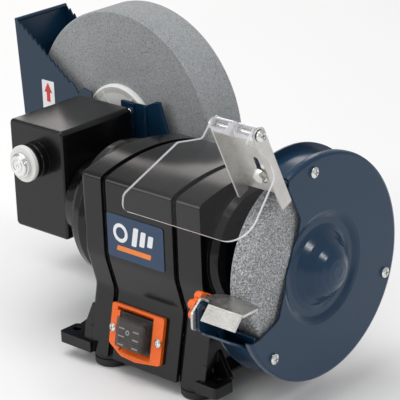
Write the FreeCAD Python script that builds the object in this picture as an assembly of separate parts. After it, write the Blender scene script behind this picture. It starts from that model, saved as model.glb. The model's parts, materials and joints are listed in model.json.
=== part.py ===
import FreeCAD, Part
import math
import os

# Bench grinder: a dry wheel straight on the motor shaft at the right end and a
# wet wheel across it at the left end, turned slowly by a worm drive.
# Working frame, millimetres: X runs along the motor shaft towards the dry wheel,
# Y runs to the back, Z is up, the bench is z = 0 and the motor shaft is y = 0.
V = FreeCAD.Vector

# ---- main layout ----
motorZ = 114.0
wetX = -136.0
gearCentres = 36.0
wetZ = motorZ + gearCentres
runClear = 0.05
gap = 0.4

# ---- wheels ----
dryR, dryWidth, dryBore = 75.0, 20.0, 6.35
dryX0 = 109.0
dryX1 = dryX0 + dryWidth
wetR, wetWidth, wetBore = 100.0, 40.0, 10.0
wetY0 = 65.0
wetY1 = wetY0 + wetWidth

# ---- motor housing ----
casingX0, casingX1 = -34.0, 35.0
grooveWide = 5.0
ringLeftX0 = -61.5
ringRightX1 = 64.0
bodyHalfY = 56.0
shoulderZ = 163.0
crownZ = 172.0
waistHalfY = 47.5
waistZ = 67.0
frontEndZ = 98.0
skirtHalfY = 59.0
skirtZ = 12.0
shellWall = 3.0
grooveDeep = 3.0
bellR = 57.0
neckR = 37.0
ringRound = 4.0
ventCount, ventStep, ventWide = 6, 9.0, 4.0
ventZ0, ventZ1 = 106.0, 144.0

# ---- feet and ears ----
earZ0, earZ1 = 12.0, 21.0
earOver = 8.5
earTrim = 5.0
earDeep = 24.0
earY = 50.0
earHoleR = 3.6
earLeftX, earRightX = -82.5, 71.0
gussetWide, gussetTall = 4.0, 20.0
flareX, flareTopZ, flareLowZ, flareInY = -67.0, 50.0, 33.0, 30.0
footR, footTall = 14.0, 12.0
footX = (-50.0, 44.0)
footY = 43.0

# ---- motor inside ----
statorR, statorBore, statorLength = 47.0, 29.6, 44.0
statorX0 = -24.0
slotCount, slotR, slotSpread = 24, 2.6, 36.0
rotorR = 29.0
shaftR = 7.5
bearingInR, bearingOutR, bearingWide = 7.5, 17.5, 11.0
bearingLeftX, bearingRightX = -78.0, 70.0

# ---- worm drive ----
wormModule = 2.0
gearTeeth = 22
gearPitchR = wormModule * gearTeeth / 2
wormPitchR = gearCentres - gearPitchR
wormTipR, wormRootR = 16.0, 11.6
gearTipR, gearRootR = 24.0, 19.5
wormPitch = math.pi * wormModule
wormTurns = 4
wormPhase = 180.0
tailR = 7.0
threadHalf = 1.28
slotHalf = 1.5
flankSlope = math.tan(math.radians(20))
leadAngle = math.atan(wormPitch / (2 * math.pi * wormPitchR))
gearWide = 18.0
slotFlank = math.tan(math.radians(24))

# ---- gear case ----
caseX0, caseX1 = wetX - 31.0, wetX + 31.0
caseY0, caseY1 = -33.0, 44.0
caseZ0, caseZ1 = 86.0, 178.5
caseWall = 3.5
caseRound = 4.0
bossR, bossLong = 14.4, 11.5
wetShaftR = 8.0
frontWasherR, frontWasherLong = 15.2, 4.0
capR, capLong = 10.0, 5.5

# ---- wet trough ----
troughY0, troughY1 = 57.0, 116.0
sheet = 1.2
troughLeftX, troughTopZ = -254.0, 226.0
troughKneeX, troughKneeZ = -185.0, 181.0
troughFloorX, troughFloorZ = -232.0, 38.0
troughRightX = -28.0
troughRightZ = 140.0
toothCount, toothDeep = 12, 2.6
notchX0, notchX1, notchZ = -163.0, -127.0, 170.0
tabTopZ, tabThick = 178.3, 1.5
tabScrew = (-117.5, 169.5)
creaseX = -99.5
cornerX, cornerZ = -82.8, 184.3

# ---- dry wheel guard ----
guardX0 = 101.0
guardX1 = 134.0
guardR, flangeR = 82.0, 88.0
guardSheet = 1.5
coverSheet = 1.4
mouthTop, mouthLow = 114.0, 202.0
plateMouthR = 64.0
domeR, domeOut = 20.0, 15.0
pressR, pressDeep = 40.0, 3.0
coverScrewR = 79.0
coverScrewAngles = (96.5, 222.5, 339.0)

# ---- tool rest ----
restZ = 111.5
restX0, restX1 = 100.0, 141.0
restY0, restY1 = -97.0, -77.6
restSheet = 2.0
armX0, armX1 = 98.4, 100.4
stemX1 = 97.9
knobY, knobZ = -88.0, 102.0
knobR, knobLobe, knobLong = 8.2, 3.6, 7.0

# ---- eye shield ----
rodY, rodZ, rodR = -74.0, 239.0, 2.5
rodX0, rodX1 = 98.4, 141.8
bracketLean = math.radians(24.0)
shieldDrop = math.radians(43.0)
shieldLong, shieldSheet = 81.0, 2.0
shieldX0, shieldX1 = 61.0, 178.5
bracketX0, bracketX1 = 99.0, 141.0
bracketSheet = 1.5
webLow, armLow = 61.0, 66.0
boltX, boltDown = 122.0, 45.0
slotTop, slotLow = 31.0, 51.0
tabX0, tabX1 = 109.0, 131.0

# ---- switch and labels ----
plateX0, plateX1 = -36.5, 19.5
plateZ0, plateZ1 = 16.0, 58.0
plateLean = -11.8
plateFaceY = -49.5
switchZ = 38.0
trayX0, trayX1 = -27.5, 8.5
trayZ0, trayZ1 = 24.0, 53.0
rockerX0, rockerX1 = -22.0, 2.0
rockerZ0, rockerZ1 = 29.0, 47.0
glandX, glandZ, glandSeatY = 12.0, 30.0, 59.0
labelX0, labelX1 = -34.0, 26.0
labelZ0, labelZ1 = 100.5, 136.0


# ---------- small shape makers ----------

def boxAt(x0, x1, y0, y1, z0, z1):
    return Part.makeBox(x1 - x0, y1 - y0, z1 - z0, V(x0, y0, z0))


def cylX(x0, x1, r, y=0.0, z=motorZ):
    return Part.makeCylinder(r, x1 - x0, V(x0, y, z), V(1, 0, 0))


def cylY(y0, y1, r, x=wetX, z=wetZ):
    return Part.makeCylinder(r, y1 - y0, V(x, y0, z), V(0, 1, 0))


def cylZ(z0, z1, r, x, y):
    return Part.makeCylinder(r, z1 - z0, V(x, y, z0), V(0, 0, 1))


def tubeX(x0, x1, rOut, rIn, y=0.0, z=motorZ):
    return cylX(x0, x1, rOut, y, z).cut(cylX(x0 - 1, x1 + 1, rIn, y, z))


def tubeY(y0, y1, rOut, rIn, x=wetX, z=wetZ):
    return cylY(y0, y1, rOut, x, z).cut(cylY(y0 - 1, y1 + 1, rIn, x, z))


def tubeZ(z0, z1, rOut, rIn, x, y):
    return cylZ(z0, z1, rOut, x, y).cut(cylZ(z0 - 1, z1 + 1, rIn, x, y))


def roundedFace(corners, place):
    """Face from corners (a, b, radius); place turns (a, b) into a point."""
    edges = []
    ends = []
    count = len(corners)
    for i in range(count):
        a, b, r = corners[i]
        here = V(a, b, 0)
        back = V(corners[i - 1][0], corners[i - 1][1], 0).sub(here)
        ahead = corners[(i + 1) % count]
        onward = V(ahead[0], ahead[1], 0).sub(here)
        if r <= 0:
            ends.append((here, here, here))
            continue
        back.normalize()
        onward.normalize()
        half = back.getAngle(onward) / 2
        run = r / math.tan(half)
        middle = back.add(onward)
        middle.normalize()
        reach = r / math.sin(half) - r
        ends.append((here + back * run, here + middle * reach, here + onward * run))
    for i in range(count):
        first, middle, last = ends[i]
        if first.distanceToPoint(last) > 1e-6:
            edges.append(Part.Arc(place(first), place(middle), place(last)).toShape())
        start = ends[(i + 1) % count][0]
        if last.distanceToPoint(start) > 1e-6:
            edges.append(Part.makeLine(place(last), place(start)))
    return Part.Face(Part.Wire(edges))


def prismX(corners, x0, x1):
    face = roundedFace(corners, lambda p: V(x0, p.x, p.y))
    return face.extrude(V(x1 - x0, 0, 0))


def prismY(corners, y0, y1):
    face = roundedFace(corners, lambda p: V(p.x, y0, p.y))
    return face.extrude(V(0, y1 - y0, 0))


def prismZ(corners, z0, z1):
    face = roundedFace(corners, lambda p: V(p.x, p.y, z0))
    return face.extrude(V(0, 0, z1 - z0))


def revolveX(points, y=0.0, z=motorZ):
    """Solid of revolution about a line along X from (x, radius) points."""
    line = [V(x, y, z + r) for x, r in points]
    wire = Part.makePolygon(line + [line[0]])
    return Part.Face(wire).revolve(V(0, y, z), V(1, 0, 0), 360)


def revolveY(points, x=wetX, z=wetZ):
    line = [V(x, y, z + r) for y, r in points]
    wire = Part.makePolygon(line + [line[0]])
    return Part.Face(wire).revolve(V(x, 0, z), V(0, 1, 0), 360)


def fuse(shapes):
    whole = shapes[0].multiFuse(shapes[1:]) if len(shapes) > 1 else shapes[0]
    return whole.removeSplitter()


def cutAll(shape, tools):
    for tool in tools:
        shape = shape.cut(tool)
    return shape


def runsAlong(edge, axis):
    box = edge.BoundBox
    spans = {"x": box.XLength, "y": box.YLength, "z": box.ZLength}
    others = [spans[name] for name in spans if name != axis]
    return spans[axis] > 1.0 and max(others) < 0.01


def screwHead(radius, tall, x, y, z, towards):
    """Pan head with a cross recess, standing on (x, y, z) along a direction."""
    base = V(x, y, z)
    head = Part.makeCylinder(radius, tall * 0.6, base, towards)
    capBase = base + towards * (tall * 0.6)
    top = Part.makeCone(radius, radius * 0.55, tall * 0.4, capBase, towards)
    head = head.fuse(top)
    turn = FreeCAD.Rotation(V(0, 0, 1), towards)
    for angle in (0, 90):
        bar = Part.makeBox(radius * 1.1, radius * 0.26, tall, V(-radius * 0.55, -radius * 0.13, 0))
        bar.rotate(V(0, 0, 0), V(0, 0, 1), angle)
        bar.Placement = FreeCAD.Placement(base + towards * (tall * 0.45), turn).multiply(bar.Placement)
        head = head.cut(bar)
    return head


def hexPrism(flat, tall, base, towards, turnBy=0.0):
    """Hexagonal nut blank, flat = width across flats."""
    r = flat / math.sqrt(3)
    spots = [math.radians(60 * k + turnBy) for k in range(6)]
    corners = [V(r * math.cos(a), r * math.sin(a), 0) for a in spots]
    face = Part.Face(Part.makePolygon(corners + [corners[0]]))
    solid = face.extrude(V(0, 0, tall))
    solid.Placement = FreeCAD.Placement(base, FreeCAD.Rotation(V(0, 0, 1), towards))
    return solid


# ---------- motor housing ----------

def crownRadius(shrink):
    rise = crownZ - shoulderZ
    return (bodyHalfY ** 2 + rise ** 2) / (2 * rise) - shrink


def housingSection(shrink, lowZ):
    """Outline in the YZ plane: domed crown, upright sides, waist and skirt."""
    half = bodyHalfY - shrink
    corners = [(-skirtHalfY + shrink, lowZ, 0),
               (-waistHalfY + shrink, waistZ, 14),
               (-half, frontEndZ, 30),
               (-half, crownZ + 20, 0),
               (half, crownZ + 20, 0),
               (half, frontEndZ, 30),
               (waistHalfY - shrink, waistZ, 14),
               (skirtHalfY - shrink, lowZ, 0)]
    return corners


def housingBlock(x0, x1, shrink, lowZ):
    """Solid of the housing outline between two x values."""
    block = prismX(housingSection(shrink, lowZ), x0, x1)
    radius = crownRadius(shrink)
    centreZ = crownZ - shrink - radius
    crown = cylX(x0 - 1, x1 + 1, radius, 0, centreZ)
    low = boxAt(x0 - 1, x1 + 1, -99, 99, lowZ - 1, shoulderZ - 30)
    block = block.common(crown.fuse(low))
    corner = [edge for edge in block.Edges
              if runsAlong(edge, "x") and edge.BoundBox.ZMin > shoulderZ - 12]
    return block.makeFillet(5.0, corner) if corner else block


def makeMotorCasing():
    shell = housingBlock(casingX0, casingX1, 0, skirtZ)
    shell = shell.cut(housingBlock(casingX0 - 1, casingX1 + 1, shellWall, skirtZ - 1))
    solids = [shell, cylY(glandSeatY - 7, glandSeatY, 11, glandX, glandZ)]
    seat = cylX(statorX0 - 1, statorX0 + statorLength + 1, statorR)
    for side in (-1, 1):
        y0, y1 = sorted((side * (bodyHalfY - shellWall + 0.5), side * (statorR - 6)))
        rib = boxAt(statorX0, statorX0 + statorLength, y0, y1, motorZ - 3, motorZ + 3)
        solids.append(rib.cut(seat))
    window = boxAt(plateX0 + 7, plateX1 - 9, -80, -30, plateZ0 + 6, plateZ1 - 4)
    openings = [tilted(window), cylY(20, 80, 6.05, glandX, glandZ)]
    for x in plateScrewXs():
        openings.append(tilted(cylY(-72, -42, 1.4, x, switchZ)))
    for k in range(ventCount):
        x = casingX0 + 12 + ventStep * k
        openings.append(boxAt(x, x + ventWide, bodyHalfY - 12, bodyHalfY + 6, ventZ0, ventZ1))
    return cutAll(fuse(solids), openings)


def earOutline(side, y):
    """Plan outline of one ear, in (x, y); side -1 is the left end."""
    inner = ringLeftX0 + 6 if side < 0 else ringRightX1 - 6
    outer = earLeftX - earOver if side < 0 else earRightX + earOver
    low, high = y - earDeep / 2, y + earDeep / 2
    trim = outer - side * 8.0
    corners = [(inner, low, 0), (outer, low, 3), (outer, high - earTrim, 2),
               (trim, high, 2), (inner, high, 0)]
    return corners if side > 0 else corners[::-1]


def makeEar(side, y):
    """Foot ear with an upright gusset along its inner side."""
    ear = prismZ(earOutline(side, y), earZ0, earZ1)
    rootX = ringLeftX0 if side < 0 else ringRightX1
    tipX = earLeftX - 4 if side < 0 else earRightX + 5
    gussetY = -earY + earDeep / 2 if y < 0 else earY - earDeep / 2
    y0, y1 = sorted((gussetY, gussetY + math.copysign(gussetWide, y)))
    gusset = prismY([(rootX - side * 4, earZ1 - 1, 0), (rootX - side * 4, earZ1 + gussetTall, 0),
                     (rootX + side, earZ1 + gussetTall, 0), (tipX, earZ1 + 1, 0),
                     (tipX, earZ1 - 1, 0)], y0, y1)
    return ear.fuse(gusset)


def makeEndFrame(side):
    """End frame: ring, bell with bearing seat, legs and two ears."""
    if side < 0:
        x0, x1 = ringLeftX0, casingX0 - gap
        lip0, lip1 = x1 - grooveWide, x1 + 1
        web0, web1 = x0 + 0.5, x0 + 4
        earX, postX = earLeftX, footX[0]
    else:
        x0, x1 = casingX1 + gap, ringRightX1
        lip0, lip1 = x0 - 1, x0 + grooveWide
        web0, web1 = x1 - 4, x1
        earX, postX = earRightX, footX[1]
    groove = housingBlock(lip0, lip1, -40, skirtZ - 1)
    groove = groove.cut(housingBlock(lip0 - 1, lip1 + 1, grooveDeep, skirtZ - 2))
    hollow = housingBlock(x0 - 1, x1 + 1, shellWall + grooveDeep, skirtZ - 1)
    ring = roundedRing(x0, x1, side).cut(groove).cut(hollow)
    web = housingBlock(web0, web1, ringRound, skirtZ + 20)
    keepIn = housingBlock(x0, x1, 1.0, skirtZ)
    solids = [ring, web, makeBell(side)]
    solids += [makeEar(side, y) for y in (-earY, earY)]
    solids += [cylZ(skirtZ, skirtZ + 12, footR - 1, postX, y).common(keepIn) for y in (-footY, footY)]
    if side < 0:
        solids.append(makeFlare())
    holes = [cylZ(0, 60, earHoleR, earX, y) for y in (-earY, earY)]
    holes += [cylZ(0, skirtZ + 10, 2.0, postX, y) for y in (-footY, footY)]
    return cutAll(fuse(solids), holes + [bellHollow(side)])


def bellProfile(side):
    if side < 0:
        x = ringLeftX0
        neckEnd = caseX1 + gap
        return [(x + 1, 0), (x + 1, bellR - 2), (x - 5, bellR), (x - 12, bellR - 1),
                (x - 18, bellR - 5), (x - 22, bellR - 12), (x - 24, neckR + 6),
                (x - 27, neckR), (neckEnd, neckR - 2), (neckEnd, 0)]
    x = ringRightX1
    end = guardX0 - gap
    return [(x - 1, 0), (x - 1, 50), (x + 3, 50), (x + 8, 47), (x + 11, 42),
            (x + 12, 34), (end - 9, 32), (end - 7, 40), (end, 40), (end, 0)]


def makeBell(side):
    return revolveX(bellProfile(side))


def bellHollow(side):
    """Inside of a bell: winding space, bearing seat and shaft hole."""
    bolts = [cylX(-70, 72, 1.95, y, motorZ + dz) for y, dz in boltSpots()]
    if side < 0:
        x0 = ringLeftX0 - 12
        rooms = [cylX(x0, ringLeftX0 + 6, 46), cylX(bearingLeftX, x0 + 1, bearingOutR),
                 cylX(caseX1 - 1, bearingLeftX + 1, bearingOutR - 4)]
    else:
        x1 = ringRightX1 + 4
        rooms = [cylX(ringRightX1 - 6, x1, 44), cylX(x1 - 1, bearingRightX + bearingWide + 0.1, bearingOutR),
                 cylX(bearingRightX + bearingWide - 1, guardX0 + 1, bearingOutR - 4)]
    return rooms[0].multiFuse(rooms[1:] + bolts)


def makeBaseCover():
    half = skirtHalfY - shellWall - grooveDeep - 2.5
    x0, x1 = casingX0 - 22, casingX1 + 22
    plate = boxAt(x0, x1, -half, half, skirtZ + 0.5, skirtZ + 2.5)
    for x in footX:
        for y in (-footY, footY):
            plate = plate.cut(cylZ(0, 40, footR + 2.0, x, y))
    slots = [boxAt(-20 + 10 * k, -15 + 10 * k, -16, 16, skirtZ, skirtZ + 4) for k in range(5)]
    return cutAll(plate, slots)


def makeRubberFoot(x, y):
    pad = cylZ(0, footTall - gap / 2, footR, x, y)
    lower = [edge for edge in pad.Edges if edge.BoundBox.ZMax < 1]
    pad = pad.makeFillet(2.0, lower)
    well = cylZ(-1, 5, 5.0, x, y)
    hole = cylZ(-1, 30, 2.4, x, y)
    groove = tubeZ(6.5, 8.0, footR + 1, footR - 1.2, x, y)
    return cutAll(pad, [well, hole, groove])


def makeFootScrews():
    screws = []
    for x in footX:
        for y in (-footY, footY):
            shank = cylZ(4.9, skirtZ + 9, 1.9, x, y)
            screws.append(shank.fuse(cylZ(2.4, 5.0, 4.2, x, y)))
    return Part.makeCompound(screws)


# ---------- motor inside ----------

def makeStatorCore():
    core = tubeX(statorX0, statorX0 + statorLength, statorR - runClear, statorBore)
    for k in range(slotCount):
        turn = 2 * math.pi * k / slotCount
        y = slotSpread * math.cos(turn)
        z = motorZ + slotSpread * math.sin(turn)
        core = core.cut(cylX(statorX0 - 1, statorX0 + statorLength + 1, slotR, y, z))
    return core


def makeWindings():
    rings = []
    for x in (statorX0 - 11.5, statorX0 + statorLength + 0.5):
        ring = tubeX(x, x + 11, 42, 31.5)
        edges = [edge for edge in ring.Edges if edge.Length > 100]
        rings.append(ring.makeFillet(3.5, edges))
    return Part.makeCompound(rings)


def makeRotorCore():
    core = tubeX(statorX0, statorX0 + statorLength, rotorR, shaftR + 3)
    rings = [tubeX(x, x + 4, rotorR - 1, rotorR - 8)
             for x in (statorX0 - 4, statorX0 + statorLength)]
    bush = tubeX(statorX0 - 3, statorX0 + statorLength + 3, shaftR + 3, shaftR + 0.01)
    return fuse([core, bush] + rings)


def makeFan():
    x = ringRightX1 - 20
    hub = tubeX(x, x + 10, 13, shaftR + 0.01)
    disc = tubeX(x + 8, x + 10, 40, 12)
    blades = []
    for k in range(9):
        blade = boxAt(x, x + 9, -1, 1, motorZ + 15, motorZ + 39)
        blade.rotate(V(x, 0, motorZ), V(1, 0, 0), 40 * k)
        blades.append(blade)
    return fuse([hub, disc] + blades)


def makeMotorShaft():
    """Stepped shaft from the worm end to the threaded dry wheel end."""
    left = bearingLeftX
    return fuse([cylX(left - 2, bearingRightX + bearingWide + 2, shaftR),
                 cylX(caseX0 + 4, left, tailR),
                 cylX(bearingRightX + bearingWide, dryX0 - 3.6, shaftR - 0.5),
                 cylX(dryX0 - 4, dryX1 + 17, dryBore - runClear)])


def bearingRing(x, rOut, rIn):
    return tubeX(x, x + bearingWide, rOut, rIn)


def makeBearingOuters():
    rings = []
    for x in (bearingLeftX, bearingRightX):
        ring = bearingRing(x + 0.05, bearingOutR - 0.02, bearingOutR - 3.2)
        rings.append(ring.cut(ballTrack(x)))
    return Part.makeCompound(rings)


def ballTrack(x):
    middle = (bearingInR + bearingOutR) / 2
    track = Part.makeTorus(middle, 2.6, V(x + bearingWide / 2, 0, motorZ), V(1, 0, 0))
    return track


def makeBearingInners():
    """Inner rings with their balls, turning with the shaft."""
    rings = []
    middle = (bearingInR + bearingOutR) / 2
    for x in (bearingLeftX, bearingRightX):
        ring = bearingRing(x + 0.05, bearingInR + 3.2, bearingInR + 0.01)
        balls = []
        for k in range(8):
            turn = math.pi * k / 4
            spot = V(x + bearingWide / 2, middle * math.cos(turn), motorZ + middle * math.sin(turn))
            balls.append(Part.makeSphere(2.5, spot))
        rings.append(fuse([ring] + balls))
    return Part.makeCompound(rings)


def makeWaveWasher():
    x = bearingLeftX + bearingWide + 0.6
    return tubeX(x, x + 0.8, bearingOutR - 0.8, bearingInR + 4.5)


def makeThroughBolts():
    bolts = []
    for y, dz in boltSpots():
        z = motorZ + dz
        rod = cylX(ringLeftX0 + 1, ringRightX1 - 1, 1.9, y, z)
        nut = hexPrism(7, 3, V(ringRightX1 - 7.5, y, z), V(1, 0, 0))
        head = hexPrism(7, 3, V(ringLeftX0 + 4.5, y, z), V(1, 0, 0))
        bolts.append(fuse([rod, nut, head]))
    return Part.makeCompound(bolts)


def makeCapacitor():
    can = cylX(-30, 22, 14, 20, 45)
    ends = [edge for edge in can.Edges if edge.Length > 60]
    can = can.makeFillet(1.5, ends)
    tags = [boxAt(22, 29, 15, 16, 42, 48), boxAt(22, 29, 24, 25, 42, 48)]
    return fuse([can] + tags)


def makeCapacitorClip():
    band = tubeX(-12, 0, 15.6, 14.05, 20, 45)
    opening = boxAt(-13, 1, 12, 28, 20, 38)
    band = band.cut(opening)
    feet = [boxAt(-12, 0, 28.2, 40, 31.2, 32.7)]
    return fuse([band.fuse(feet[0])])


def makeCableGland():
    """Rubber inlet bush at the back of the base."""
    stem = cylY(glandSeatY - 8, glandSeatY + 1, 6.0, glandX, glandZ)
    collar = cylY(glandSeatY + 0.05, glandSeatY + 7, 9.0, glandX, glandZ)
    collar = collar.makeFillet(1.5, [e for e in collar.Edges if e.BoundBox.YMin > glandSeatY + 6])
    return stem.fuse(collar).cut(cylY(glandSeatY - 12, glandSeatY + 12, 3.5, glandX, glandZ))


# ---------- switch and labels ----------

def makeSwitchPlate():
    """Bright surround: sloped tray lips above and below a sunken switch."""
    face = plateFaceY
    outline = [(plateX0, plateZ0 + 9, 3), (plateX0, plateZ1, 2), (plateX1, plateZ1, 2),
               (plateX1, plateZ0 + 4, 3), (plateX0 + 30, plateZ0, 14), (plateX0 + 14, plateZ0 + 1, 8)]
    plate = prismY(outline, face - 3.2, face - 0.1)
    backing = boxAt(plateX0 + 7.6, plateX1 - 9.6, face - 0.5, face + 10, plateZ0 + 6.6, plateZ1 - 4.6)
    plate = plate.fuse(backing)
    tray = boxAt(trayX0, trayX1, face - 9, face + 20, trayZ0, trayZ1)
    slopeTop = prismX([(face - 3.7, plateZ1 - 1.5, 0), (face + 1, trayZ1 - 0.2, 0),
                       (face - 3.7, trayZ1 - 0.2, 0)], trayX0 - 3, trayX1)
    slopeLow = prismX([(face - 3.7, plateZ0 + 3.5, 0), (face - 3.7, trayZ0 + 0.2, 0),
                       (face + 1, trayZ0 + 0.2, 0)], trayX0 + 2, trayX1)
    plate = cutAll(plate, [tray, slopeTop, slopeLow])
    for x in plateScrewXs():
        plate = plate.cut(cylY(face - 6, face + 6, 1.7, x, switchZ))
    return tilted(plate)


def makeSwitchBody():
    """Switch block filling the tray, with a well for the rocker."""
    face = plateFaceY
    block = boxAt(trayX0 + 0.3, trayX1 - 0.3, face - 2.4, face + 9, trayZ0 + 0.3, trayZ1 - 0.3)
    stem = boxAt(trayX0 + 3.5, trayX1 - 3.5, face + 8, face + 24, trayZ0 + 2.5, trayZ1 - 4.5)
    well = boxAt(rockerX0 - gap, rockerX1 + gap, face - 4, face + 6, rockerZ0 - gap, rockerZ1 + gap)
    pivot = cylX(rockerX0 - 3, rockerX1 + 3, 1.4, face + 1.6, switchZ)
    return tilted(cutAll(block.fuse(stem), [well, pivot]))


def makeRocker():
    """Two-winged rocker on short pivot pins, upper wing out."""
    face = plateFaceY
    tail = face + 4.4
    profile = [(face - 3.0, rockerZ0 + 0.8, 1), (face - 1.4, switchZ, 0),
               (face - 4.4, rockerZ1 - 1.2, 1), (face + 1.6, rockerZ1 - 1.2, 0),
               (tail, switchZ + 2, 0), (tail, switchZ - 2, 0), (face + 2.4, rockerZ0 + 1.0, 0)]
    key = prismX(profile, rockerX0, rockerX1)
    pins = cylX(rockerX0 - 2.6, rockerX1 + 2.6, 1.4 - runClear, face + 1.6, switchZ)
    return tilted(fuse([key, pins]))


def makeSwitchCover():
    """Clear dust cover over the rocker with a bevelled front."""
    face = plateFaceY - 2.45
    x0, x1, z0, z1 = rockerX0 - 3, rockerX1 + 3, rockerZ0 - 3, rockerZ1 + 3
    outer = boxAt(x0, x1, face - 8.5, face, z0, z1)
    bevel = [edge for edge in outer.Edges if edge.BoundBox.YMax < face - 8]
    outer = outer.makeChamfer(2.2, bevel)
    return tilted(outer.cut(boxAt(x0 + 1.2, x1 - 1.2, face - 7.3, face + 1, z0 + 1.2, z1 - 1.2)))


def makeSwitchScrews():
    face = plateFaceY - 3.2
    parts = []
    for x in plateScrewXs():
        head = screwHead(3.3, 2.4, x, face - 0.05, switchZ, V(0, -1, 0))
        shank = cylY(face - 0.3, face + 12, 1.35, x, switchZ)
        parts.append(fuse([head, shank]))
    return tilted(Part.makeCompound(parts))


def makeNamePlate():
    y = -bodyHalfY
    plate = prismY([(labelX0, labelZ0, 2), (labelX0, labelZ1, 2),
                    (labelX1, labelZ1, 2), (labelX1, labelZ0, 2)], y - 0.65, y - 0.05)
    return plate


def makeDirectionLabel():
    x0, z0 = -224.0, 152.0
    return prismY([(x0, z0, 1), (x0, z0 + 26, 1), (x0 + 15, z0 + 26, 1), (x0 + 15, z0, 1)],
                  troughY0 - 0.45, troughY0 - 0.05)


# ---------- gear case and wet side ----------

def makeGearCase():
    """Box round the worm drive, open at the front for its cover."""
    outer = boxAt(caseX0, caseX1, caseY0 + 3, caseY1, caseZ0, caseZ1)
    outer = outer.makeFillet(caseRound, [e for e in outer.Edges if runsAlong(e, "y")])
    inner = boxAt(caseX0 + caseWall, caseX1 - caseWall, caseY0, caseY1 - caseWall,
                  caseZ0 + caseWall, caseZ1 - caseWall)
    solids = [outer.cut(inner), cylY(14, caseY1 - caseWall + 1, wetShaftR + 6),
              cylX(caseX0 + 1, caseX0 + 9, 9)]
    for x in (caseX0 + 6, caseX1 - 6):
        for z in (caseZ0 + 6, caseZ1 - 6):
            solids.append(cylY(caseY0 + 3, caseY0 + 20, 3.4, x, z))
    case = fuse(solids)
    openings = [cylX(caseX1 - 8, caseX1 + 4, wormTipR + 1),
                cylX(caseX0 + 2, caseX0 + 12, tailR + runClear),
                cylY(0, caseY1 + 5, wetShaftR + 2)]
    openings += [cylY(caseY1 - 8, caseY1 + 5, 1.9, x, z) for x, z in spacerSpots()]
    return cutAll(case, openings)


def makeGearCover():
    """Front cover of the gear case with the long shaft boss."""
    plate = boxAt(caseX0, caseX1, caseY0, caseY0 + 2.95, caseZ0, caseZ1)
    plate = plate.makeFillet(caseRound, [e for e in plate.Edges if runsAlong(e, "y")])
    rim = [e for e in plate.Edges if e.BoundBox.YMax < caseY0 + 0.01]
    plate = plate.makeFillet(2.4, rim)
    boss = revolveY([(caseY0 - bossLong, 0), (caseY0 - bossLong, bossR - 1.2),
                     (caseY0 - bossLong + 1, bossR - 0.2), (caseY0 - bossLong + 5, bossR - 0.2),
                     (caseY0 - bossLong + 5.5, bossR + 0.4), (caseY0 + 1, bossR + 0.4),
                     (caseY0 + 1, 0)])
    inside = cylY(caseY0 + 1, -12, wetShaftR + 6)
    cover = fuse([plate, boss, inside])
    return cover.cut(cylY(-60, 0, wetShaftR + 2))


def makeSpacers():
    spots = [tubeY(caseY1 + 0.05, troughY0 - 0.05, 4.5, 1.95, x, z) for x, z in spacerSpots()]
    return Part.makeCompound(spots)


def makeWetBushes():
    front = tubeY(caseY0 - bossLong + 1, -12.5, wetShaftR + 1.99, wetShaftR + runClear)
    back = tubeY(14.5, caseY1 - 5.5, wetShaftR + 1.99, wetShaftR + runClear)
    return Part.makeCompound([front, back])


def makeOilSeal():
    return tubeY(caseY1 - 5, caseY1 + 1, wetShaftR + 1.99, wetShaftR + runClear)


def makeWorm():
    """Root cylinder carrying a right-hand trapezoid thread."""
    length = wormTurns * wormPitch
    x0 = wetX - length / 2
    sink = 0.6
    core = cylX(x0 - 6, x0 + length + 6, wormRootR)
    base = threadHalf + (wormPitchR - wormRootR + sink) * flankSlope
    tip = threadHalf - (wormTipR - wormPitchR) * flankSlope
    low, high = wormRootR - sink, wormTipR
    helix = Part.makeHelix(wormPitch, length, wormPitchR)
    corners = [V(low, 0, -base), V(low, 0, base), V(high, 0, tip), V(high, 0, -tip)]
    profile = Part.makePolygon(corners + [corners[0]])
    thread = Part.Wire(helix.Edges).makePipeShell([profile], True, True)
    thread.rotate(V(0, 0, 0), V(0, 1, 0), 90)
    thread.translate(V(x0, 0, motorZ))
    worm = core.fuse(thread)
    worm = worm.cut(cylX(x0 - 9, x0 + length + 9, tailR + 0.01))
    worm.rotate(V(0, 0, motorZ), V(1, 0, 0), wormPhase)
    return worm


def makeWormWheel():
    """Worm wheel with straight tooth spaces tilted by the lead angle."""
    y0, y1 = -gearWide / 2, gearWide / 2
    blank = cylY(y0, y1, gearTipR)
    top = gearTipR + 1
    outer = slotHalf + (top - gearPitchR) * slotFlank
    low = slotHalf - (gearPitchR - gearRootR) * slotFlank + 0.3
    slots = []
    for k in range(gearTeeth):
        slot = prismY([(wetX - outer, wetZ - top, 0), (wetX - low, wetZ - gearRootR, 0),
                       (wetX + low, wetZ - gearRootR, 0), (wetX + outer, wetZ - top, 0)],
                      -gearWide, gearWide)
        slot.rotate(V(wetX, 0, wetZ), V(0, 0, 1), math.degrees(leadAngle))
        slot.rotate(V(wetX, 0, wetZ), V(0, 1, 0), 360.0 * k / gearTeeth)
        slots.append(slot)
    wheel = blank.cut(Part.makeCompound(slots))
    hub = tubeY(y0 - 1.5, y1 + 1.5, 13, wetShaftR + 0.01)
    return wheel.cut(cylY(y0 - 1, y1 + 1, 13)).fuse(hub).removeSplitter()


def makeWetShaft():
    front = caseY0 - bossLong - frontWasherLong
    return fuse([cylY(front - 2, wetY0 - 6, wetShaftR),
                 cylY(wetY0 - 6.5, wetY1 + 8, 6.0)])


def makeFrontWasher():
    y1 = caseY0 - bossLong - gap
    washer = tubeY(y1 - frontWasherLong, y1, frontWasherR, wetShaftR + 0.01)
    rim = [e for e in washer.Edges if e.Length > 90]
    return washer.makeFillet(1.0, rim)


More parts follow.
